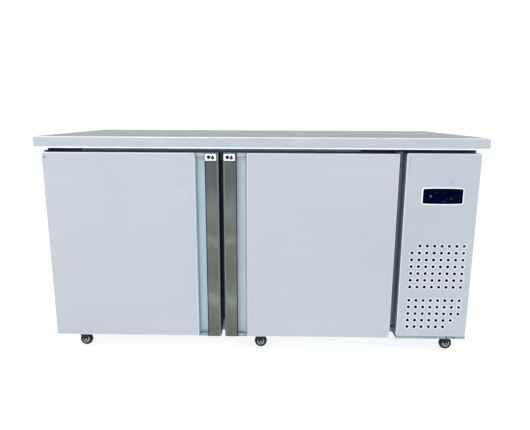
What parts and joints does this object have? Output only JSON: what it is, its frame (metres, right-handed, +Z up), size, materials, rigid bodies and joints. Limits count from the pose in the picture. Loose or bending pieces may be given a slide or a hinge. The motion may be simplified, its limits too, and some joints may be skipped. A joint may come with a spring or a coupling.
{
  "type": "under counter fridge",
  "caption": "Low two-door under counter fridge with a flat worktop, recessed vertical door grips, a ventilated machine bay with a dark controller, and small swivel casters.",
  "frame": {"origin": "on the floor under the middle of the worktop", "axes": "+X to the right seen from the front, along the worktop; +Y from the doors to the back; +Z up"},
  "size_m": [1.5, 0.7, 0.778],
  "materials": {
    "pale_steel": "satin coated steel sheet, pale blue grey",
    "brushed_steel": "brushed along its length",
    "channel": "satin extruded plastic",
    "foam": "matt rigid foam",
    "liner": "satin white",
    "frame_grey": "satin",
    "seal": "matt soft seal",
    "dark_steel": "satin black coated",
    "wire_white": "semi-gloss plastic coated wire",
    "zinc": "zinc plated",
    "fin_aluminium": "plain mill finish fins",
    "black_paint": "semi-gloss",
    "black_plastic": "satin",
    "lens": "gloss",
    "key": "satin",
    "rubber": "matt"
  },
  "bodies": {
    "root": {"worktop": "pale_steel", "cabinet_shell": "pale_steel", "cabinet_insulation": "foam", "inner_liner": "liner", "front_frame": "frame_grey", "centre_mullion": "frame_grey", "shelf_centre_support": "zinc", "shelf_left": "wire_white", "shelf_right": "wire_white", "evaporator_cover": "liner", "evaporator_coil": "fin_aluminium", "machine_side_panel": "pale_steel", "machine_back_grille": "pale_steel", "power_cord_gland": "black_plastic", "machine_base_tray": "pale_steel", "machine_front_panel": "pale_steel", "controller_housing": "black_plastic", "controller_lens": "lens", "compressor": "black_paint", "condenser_coil": "fin_aluminium", "condenser_fan_frame": "black_plastic", "hinge_bracket_top_left": "dark_steel", "hinge_bracket_bottom_left": "dark_steel", "hinge_bracket_top_right": "dark_steel", "hinge_bracket_bottom_right": "dark_steel", "caster_front_left_plate": "zinc", "caster_front_centre_plate": "zinc", "caster_front_right_plate": "zinc", "caster_rear_left_plate": "zinc", "caster_rear_centre_plate": "zinc", "caster_rear_right_plate": "zinc"},
    "door_left": {"door_left_skin": "pale_steel", "door_left_core": "foam", "door_left_inner_panel": "liner", "door_left_handle_channel": "channel", "door_left_grip_strip": "brushed_steel", "door_left_gasket": "seal"},
    "door_right": {"door_right_skin": "pale_steel", "door_right_core": "foam", "door_right_inner_panel": "liner", "door_right_handle_channel": "channel", "door_right_grip_strip": "brushed_steel", "door_right_gasket": "seal"},
    "condenser_fan": {"condenser_fan": "black_plastic"},
    "evaporator_fan": {"evaporator_fan": "black_plastic"},
    "controller_key_1": {"controller_key_1": "key"},
    "controller_key_2": {"controller_key_2": "key"},
    "controller_key_3": {"controller_key_3": "key"},
    "caster_front_left_fork": {"caster_front_left_fork": "black_paint"},
    "caster_front_left_wheel": {"caster_front_left_wheel": "rubber"},
    "caster_front_centre_fork": {"caster_front_centre_fork": "black_paint"},
    "caster_front_centre_wheel": {"caster_front_centre_wheel": "rubber"},
    "caster_front_right_fork": {"caster_front_right_fork": "black_paint"},
    "caster_front_right_wheel": {"caster_front_right_wheel": "rubber"},
    "caster_rear_left_fork": {"caster_rear_left_fork": "black_paint"},
    "caster_rear_left_wheel": {"caster_rear_left_wheel": "rubber"},
    "caster_rear_centre_fork": {"caster_rear_centre_fork": "black_paint"},
    "caster_rear_centre_wheel": {"caster_rear_centre_wheel": "rubber"},
    "caster_rear_right_fork": {"caster_rear_right_fork": "black_paint"},
    "caster_rear_right_wheel": {"caster_rear_right_wheel": "rubber"}
  },
  "joints": [
    {"name": "door_left_hinge", "type": "hinge", "parent": "root", "child": "door_left", "pos_m": [-0.719, -0.323, 0.4], "axis": [0, 0, -1], "range_deg": [0, 105]},
    {"name": "door_right_hinge", "type": "hinge", "parent": "root", "child": "door_right", "pos_m": [0.4505, -0.323, 0.4], "axis": [0, 0, 1], "range_deg": [0, 105]},
    {"name": "fan_condenser_spin", "type": "hinge", "parent": "root", "child": "condenser_fan", "pos_m": [0.606, -0.2175, 0.222], "axis": [0, 1, 0], "continuous": true},
    {"name": "fan_evaporator_spin", "type": "hinge", "parent": "root", "child": "evaporator_fan", "pos_m": [0.3455, 0.02, 0.55], "axis": [1, 0, 0], "continuous": true},
    {"name": "key_1_press", "type": "slide", "parent": "root", "child": "controller_key_1", "axis": [0, 1, 0], "range_m": [0, 0.001], "stiffness_N_per_m": 400},
    {"name": "key_2_press", "type": "slide", "parent": "root", "child": "controller_key_2", "axis": [0, 1, 0], "range_m": [0, 0.001], "stiffness_N_per_m": 400},
    {"name": "key_3_press", "type": "slide", "parent": "root", "child": "controller_key_3", "axis": [0, 1, 0], "range_m": [0, 0.001], "stiffness_N_per_m": 400},
    {"name": "swivel_front_left", "type": "hinge", "parent": "root", "child": "caster_front_left_fork", "pos_m": [-0.668, -0.27, 0.06], "axis": [0, 0, 1], "continuous": true},
    {"name": "swivel_front_centre", "type": "hinge", "parent": "root", "child": "caster_front_centre_fork", "pos_m": [-0.0125, -0.27, 0.06], "axis": [0, 0, 1], "continuous": true},
    {"name": "swivel_front_right", "type": "hinge", "parent": "root", "child": "caster_front_right_fork", "pos_m": [0.673, -0.27, 0.06], "axis": [0, 0, 1], "continuous": true},
    {"name": "swivel_rear_left", "type": "hinge", "parent": "root", "child": "caster_rear_left_fork", "pos_m": [-0.668, 0.27, 0.06], "axis": [0, 0, 1], "continuous": true},
    {"name": "swivel_rear_centre", "type": "hinge", "parent": "root", "child": "caster_rear_centre_fork", "pos_m": [-0.0125, 0.27, 0.06], "axis": [0, 0, 1], "continuous": true},
    {"name": "swivel_rear_right", "type": "hinge", "parent": "root", "child": "caster_rear_right_fork", "pos_m": [0.673, 0.27, 0.06], "axis": [0, 0, 1], "continuous": true},
    {"name": "wheel_front_left", "type": "hinge", "parent": "caster_front_left_fork", "child": "caster_front_left_wheel", "pos_m": [-0.6535, -0.27, 0.0225], "axis": [0, 1, 0], "continuous": true},
    {"name": "wheel_front_centre", "type": "hinge", "parent": "caster_front_centre_fork", "child": "caster_front_centre_wheel", "pos_m": [0.002, -0.27, 0.0225], "axis": [0, 1, 0], "continuous": true},
    {"name": "wheel_front_right", "type": "hinge", "parent": "caster_front_right_fork", "child": "caster_front_right_wheel", "pos_m": [0.6875, -0.27, 0.0225], "axis": [0, 1, 0], "continuous": true},
    {"name": "wheel_rear_left", "type": "hinge", "parent": "caster_rear_left_fork", "child": "caster_rear_left_wheel", "pos_m": [-0.6535, 0.27, 0.0225], "axis": [0, 1, 0], "continuous": true},
    {"name": "wheel_rear_centre", "type": "hinge", "parent": "caster_rear_centre_fork", "child": "caster_rear_centre_wheel", "pos_m": [0.002, 0.27, 0.0225], "axis": [0, 1, 0], "continuous": true},
    {"name": "wheel_rear_right", "type": "hinge", "parent": "caster_rear_right_fork", "child": "caster_rear_right_wheel", "pos_m": [0.6875, 0.27, 0.0225], "axis": [0, 1, 0], "continuous": true}
  ]
}
